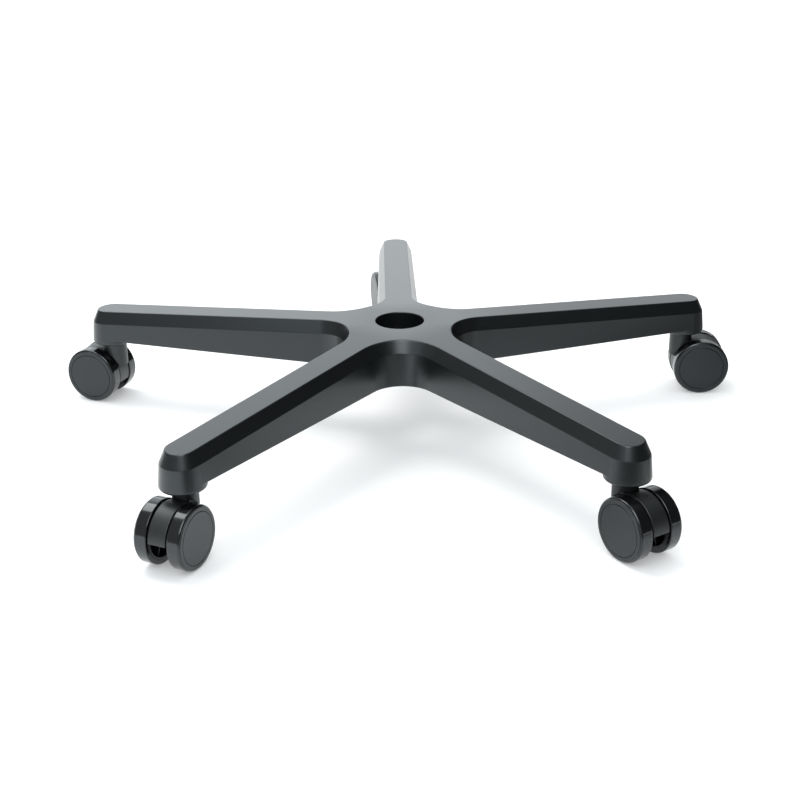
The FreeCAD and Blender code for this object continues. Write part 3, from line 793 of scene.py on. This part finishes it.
# Floor
# A plain white floor that reaches far behind the part and keeps its shadow. It is lifted a little
# towards white where the camera sees it, and more where the part's gloss mirrors it.
FLOOR = -HUB_HEIGHT * MM


def panel(name, width, height, place, material):
    """A flat rectangle that faces along its own z."""
    mesh = bmesh.new()
    spread = mesh.loops.layers.uv.new("spread")
    corners = ((0, 0), (1, 0), (1, 1), (0, 1))
    for x, y in corners:
        mesh.verts.new(place @ Vector(((x - 0.5) * width, (y - 0.5) * height, 0)))
    face = mesh.faces.new(mesh.verts)
    for loop, corner in zip(face.loops, corners):
        loop[spread].uv = corner
    data = bpy.data.meshes.new(name)
    mesh.to_mesh(data)
    mesh.free()
    data.materials.append(material)
    sheet = bpy.data.objects.new(name, data)
    bpy.context.scene.collection.objects.link(sheet)
    return sheet


white = bpy.data.materials.new("white_floor")
white.use_nodes = True
floor_nodes = white.node_tree.nodes
floor_surface = floor_nodes["Principled BSDF"]
floor_surface.inputs["Base Color"].default_value = (0.86, 0.86, 0.86, 1.0)
floor_surface.inputs["Roughness"].default_value = 1.0
floor_surface.inputs["Specular IOR Level"].default_value = 0.0
floor_surface.inputs["Emission Color"].default_value = (1.0, 1.0, 1.0, 1.0)
floor_path = floor_nodes.new("ShaderNodeLightPath")
floor_lift = floor_nodes.new("ShaderNodeMapRange")
floor_lift.inputs["To Max"].default_value = 0.22
floor_seen_in = floor_nodes.new("ShaderNodeMath")
floor_mirrored = floor_nodes.new("ShaderNodeMapRange")
floor_mirrored.inputs["To Max"].default_value = 0.42
floor_glow = floor_nodes.new("ShaderNodeMath")
floor_link = white.node_tree.links.new
floor_link(floor_path.outputs["Is Camera Ray"], floor_lift.inputs["Value"])
floor_link(floor_path.outputs["Is Glossy Ray"], floor_seen_in.inputs[0])
floor_link(floor_path.outputs["Is Transmission Ray"], floor_seen_in.inputs[1])
floor_link(floor_seen_in.outputs["Value"], floor_mirrored.inputs["Value"])
floor_link(floor_lift.outputs["Result"], floor_glow.inputs[0])
floor_link(floor_mirrored.outputs["Result"], floor_glow.inputs[1])
floor_link(floor_glow.outputs["Value"], floor_surface.inputs["Emission Strength"])
panel("floor", 40.0, 40.0, Matrix.Translation((0, 0, FLOOR)), white)

# Light
# A soft even studio that is white to the camera: two broad lamps behind the part, a key lamp high on its
# left and one lamp at its front left. A grey curved screen that darkens towards the right and a bright sheet
# high in front are seen only in reflections; the sheet paints highlights but sheds no light. Three grey
# cards on the floor, also seen only in reflections, paint shade onto the floor where the part mirrors it.
world = bpy.data.worlds.new("studio")
world.use_nodes = True
world_nodes = world.node_tree.nodes
world_link = world.node_tree.links.new
world_nodes["Background"].inputs["Color"].default_value = (0.955, 0.985, 1.0, 1.0)
world_nodes["Background"].inputs["Strength"].default_value = 1.0
paper = world_nodes.new("ShaderNodeBackground")
paper.inputs["Color"].default_value = (1.0, 1.0, 1.0, 1.0)
world_path = world_nodes.new("ShaderNodeLightPath")
world_mix = world_nodes.new("ShaderNodeMixShader")
world_link(world_path.outputs["Is Camera Ray"], world_mix.inputs["Fac"])
world_link(world_nodes["Background"].outputs["Background"], world_mix.inputs[1])
world_link(paper.outputs["Background"], world_mix.inputs[2])
world_link(world_mix.outputs["Shader"], world_nodes["World Output"].inputs["Surface"])
bpy.context.scene.world = world
AIM = Vector((0.0, 0.0, -0.06))
DAYLIGHT = (0.88, 0.96, 1.0)


def facing(spot):
    """Place at a spot, with its z turned back towards the part."""
    return Matrix.Translation(spot) @ (AIM - spot).to_track_quat("Z", "Y").to_matrix().to_4x4()


def around(azimuth, elevation, distance):
    """A spot round the part, its azimuth counted from the back towards the left, in degrees and metres."""
    a = math.radians(azimuth)
    e = math.radians(elevation)
    return AIM + Vector((-math.sin(a) * math.cos(e), math.cos(a) * math.cos(e), math.sin(e))) * distance


def lamp(name, spot, width, height, power, colour=DAYLIGHT):
    """A broad area lamp that faces the part."""
    light = bpy.data.lights.new(name, "AREA")
    light.shape = "RECTANGLE"
    light.size = width
    light.size_y = height
    light.energy = power
    light.color = colour
    holder = bpy.data.objects.new(name, light)
    aimed = (spot - AIM).to_track_quat("Z", "Y").to_matrix().to_4x4()
    holder.matrix_world = Matrix.Translation(spot) @ aimed
    bpy.context.scene.collection.objects.link(holder)


lamp("back_lamp", around(8.0, 10.5, 3.0), 4.8, 1.0, 6.6)
lamp("back_left_lamp", around(24.0, 26.5, 3.0), 3.5, 1.7, 14.7)
lamp("key_lamp", around(56.0, 63.0, 2.5), 1.3, 1.5, 26.0, colour=(1.0, 0.99, 0.97))
lamp("front_left_lamp", around(155.0, 42.0, 1.9), 1.6, 1.0, 5.8)
SCREEN_RADIUS = 2.6
SCREEN_HEIGHT = 4.3
SCREEN_START = 40.0
SCREEN_END = 334.0
SCREEN_LEAN = 24.0
SCREEN_TONES = (
    (40.0, 0.18),
    (78.0, 0.20),
    (92.0, 0.42),
    (180.0, 0.42),
    (198.0, 0.26),
    (214.0, 0.11),
    (232.0, 0.05),
    (275.0, 0.06),
    (298.0, 0.01),
    (334.0, 0.01),
)


def soft_finish(name, tones, fades, strength=1.0):
    """A glow whose tone changes along a sheet, and that fades out towards the sheet's edges."""
    material = bpy.data.materials.new(name)
    material.use_nodes = True
    nodes = material.node_tree.nodes
    link = material.node_tree.links.new
    nodes.clear()
    place = nodes.new("ShaderNodeTexCoord")
    parts = nodes.new("ShaderNodeSeparateXYZ")
    ramp = nodes.new("ShaderNodeValToRGB")
    stops = ramp.color_ramp.elements
    while len(stops) < len(tones):
        stops.new(0.5)
    for stop, (position, tone) in zip(stops, tones):
        stop.position = position
        stop.color = (tone, tone, tone, 1.0)
    glow = nodes.new("ShaderNodeEmission")
    glow.inputs["Strength"].default_value = strength
    clear = nodes.new("ShaderNodeBsdfTransparent")
    result = nodes.new("ShaderNodeOutputMaterial")
    link(place.outputs["UV"], parts.inputs[0])
    link(parts.outputs["X"], ramp.inputs["Fac"])
    link(ramp.outputs["Color"], glow.inputs["Color"])
    cover = glow
    for way, gone, whole in fades:
        fade = nodes.new("ShaderNodeMapRange")
        fade.interpolation_type = "SMOOTHSTEP"
        fade.inputs["From Min"].default_value = gone
        fade.inputs["From Max"].default_value = whole
        mix = nodes.new("ShaderNodeMixShader")
        link(parts.outputs[way], fade.inputs["Value"])
        link(fade.outputs["Result"], mix.inputs["Fac"])
        link(clear.outputs["BSDF"], mix.inputs[1])
        link(cover.outputs[0], mix.inputs[2])
        cover = mix
    link(cover.outputs[0], result.inputs["Surface"])
    material.cycles.emission_sampling = "NONE"
    return material


def screen(columns=72, rows=8):
    """A curved screen round the front of the part, from its left to its right and back."""
    mesh = bmesh.new()
    flat = mesh.loops.layers.uv.new("screen")
    grid = []
    for i in range(columns + 1):
        column = []
        for j in range(rows + 1):
            end = SCREEN_END + SCREEN_LEAN * j / rows
            turn = math.radians(SCREEN_START + (end - SCREEN_START) * i / columns)
            spot = Vector((-math.sin(turn), math.cos(turn), 0)) * SCREEN_RADIUS
            spot.z = FLOOR + SCREEN_HEIGHT * j / rows
            column.append((mesh.verts.new(spot), (i / columns, j / rows)))
        grid.append(column)
    for one, two in zip(grid, grid[1:]):
        for j in range(rows):
            corners = (one[j], two[j], two[j + 1], one[j + 1])
            face = mesh.faces.new([corner[0] for corner in corners])
            for loop, corner in zip(face.loops, corners):
                loop[flat].uv = corner[1]
    data = bpy.data.meshes.new("screen")
    mesh.to_mesh(data)
    mesh.free()
    span = SCREEN_END - SCREEN_START
    tones = [((azimuth - SCREEN_START) / span, tone) for azimuth, tone in SCREEN_TONES]
    fades = (("X", 0.0, 0.07), ("X", 1.0, 0.96), ("Y", 1.0, 0.8))
    data.materials.append(soft_finish("screen", tones, fades))
    sheet = bpy.data.objects.new("screen", data)
    bpy.context.scene.collection.objects.link(sheet)
    return sheet


def even_sheet(name, tone, side_fade, end_fade, strength=1.0):
    """A glow of one tone that fades out over a share of its width and of its height at every edge."""
    fades = (("X", 0.0, side_fade), ("X", 1.0, 1 - side_fade), ("Y", 0.0, end_fade), ("Y", 1.0, 1 - end_fade))
    return soft_finish(name, ((0.0, tone), (1.0, tone)), fades, strength)


def floor_card(name, width, height, x, y, finish):
    """A sheet that lies just over the floor."""
    return panel(name, width, height, Matrix.Translation((x, y, FLOOR + CARD_LIFT)), finish)


CARD_LIFT = 0.002
# Painted floor shade: these grey cards darken the floor only where the part mirrors it. There is a dark one
# in front, one to the right and a small lighter one beside the front right castor.
dark_floor_shade = even_sheet("dark_floor_shade_card", 0.22, 0.12, 0.12)
light_floor_shade = even_sheet("light_floor_shade_card", 0.4, 0.5, 0.5)
bright = even_sheet("front_glow", 1.0, 0.4, 0.28, strength=6.2)
reflected = [
    screen(),
    floor_card("front_card", 0.95, 2.5, 0.275, -1.50, dark_floor_shade),
    floor_card("right_card", 2.06, 1.8, 1.27, 0.40, dark_floor_shade),
    floor_card("middle_card", 0.24, 0.24, 0.10, -0.25, light_floor_shade),
    panel("front_glow", 1.0, 1.5, facing(around(178.0, 46.0, 1.6)), bright),
]
for sheet in reflected:
    sheet.visible_camera = False
    sheet.visible_diffuse = False
    sheet.visible_shadow = False

# Camera
# It looks down on the part from the front, as the photograph does.
camera = bpy.data.cameras.new("camera")
camera.sensor_width = 36.0
camera.lens = 66.50
camera_object = bpy.data.objects.new("camera", camera)
eye = Vector((-0.0178, -1.4357, 0.5196))
target = Vector((-0.00085, 0.00001, -0.0893))
gaze = (target - eye).normalized()
right = gaze.cross(Vector((0, 0, 1))).normalized()
up = right.cross(gaze)
roll = math.radians(-0.804)
frame_right = right * math.cos(roll) + up * math.sin(roll)
frame_up = up * math.cos(roll) - right * math.sin(roll)
turned = Matrix((frame_right, frame_up, -gaze)).transposed().to_4x4()
camera_object.matrix_world = Matrix.Translation(eye) @ turned
bpy.context.scene.collection.objects.link(camera_object)
bpy.context.scene.camera = camera_object
bpy.context.scene.view_settings.view_transform = "Standard"
